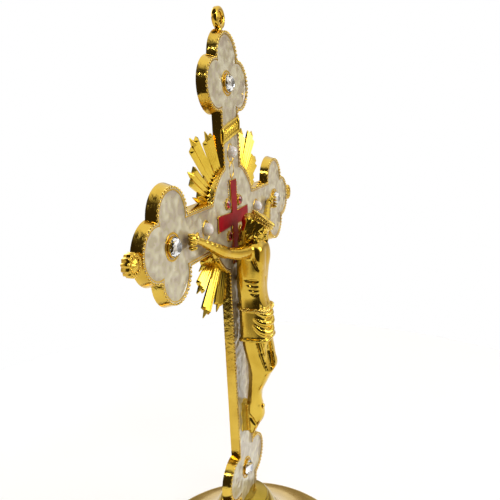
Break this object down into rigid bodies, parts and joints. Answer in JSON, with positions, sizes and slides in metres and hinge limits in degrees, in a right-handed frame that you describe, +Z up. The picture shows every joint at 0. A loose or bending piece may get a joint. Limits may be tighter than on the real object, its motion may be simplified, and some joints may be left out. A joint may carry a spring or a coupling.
{
  "type": "altar cross",
  "caption": "Free-standing enamelled metal cross with trefoil ends, cast figure, ray fans, set stones, hanging eye and round weighted base.",
  "frame": {"origin": "on the table under the centre of the round base", "axes": "+Z up the cross, -Y out of the enamelled face with the figure, +X to the right arm as seen from the front"},
  "size_m": [0.1338, 0.088, 0.2166],
  "materials": {
    "gilt_metal": "bright gold plating on a zinc alloy casting",
    "cream_enamel": "pearly cream epoxy enamel over cast relief, glossy",
    "red_enamel": "glossy red enamel",
    "clear_crystal": "faceted clear glass, foiled back",
    "red_glass": "faceted red glass",
    "pearl": "imitation pearl, lustrous",
    "steel": "zinc-plated",
    "felt": "dark brown felt"
  },
  "bodies": {
    "root": {"arm_knob_left": "gilt_metal", "arm_knob_right": "gilt_metal", "base_hub": "gilt_metal", "base_plate": "steel", "base_screw": "steel", "base_shell": "gilt_metal", "base_washer": "steel", "cross_frame": "gilt_metal", "crystal_cup_foot": "gilt_metal", "crystal_cup_left": "gilt_metal", "crystal_cup_right": "gilt_metal", "crystal_cup_top": "gilt_metal", "crystal_foot": "clear_crystal", "crystal_left": "clear_crystal", "crystal_right": "clear_crystal", "crystal_top": "clear_crystal", "enamel_main": "cream_enamel", "enamel_top": "cream_enamel", "felt_pad": "felt", "figure": "gilt_metal", "figure_rivet_lower": "gilt_metal", "figure_rivet_upper": "gilt_metal", "foot_nail": "gilt_metal", "foot_support": "gilt_metal", "hand_nail_left": "gilt_metal", "hand_nail_right": "gilt_metal", "hanging_eye": "gilt_metal", "pearl_cup_left": "gilt_metal", "pearl_cup_right": "gilt_metal", "pearl_cup_top": "gilt_metal", "pearl_left": "pearl", "pearl_right": "pearl", "pearl_top": "pearl", "ray_fan_lower_left": "gilt_metal", "ray_fan_lower_right": "gilt_metal", "ray_fan_upper_left": "gilt_metal", "ray_fan_upper_right": "gilt_metal", "red_cross_edge": "gilt_metal", "red_cross_enamel": "red_enamel", "ruby_cup_lower_left": "gilt_metal", "ruby_cup_lower_right": "gilt_metal", "ruby_cup_upper_left": "gilt_metal", "ruby_cup_upper_right": "gilt_metal", "ruby_lower_left": "red_glass", "ruby_lower_right": "red_glass", "ruby_upper_left": "red_glass", "ruby_upper_right": "red_glass", "title_scroll": "gilt_metal"}
  },
  "joints": []
}
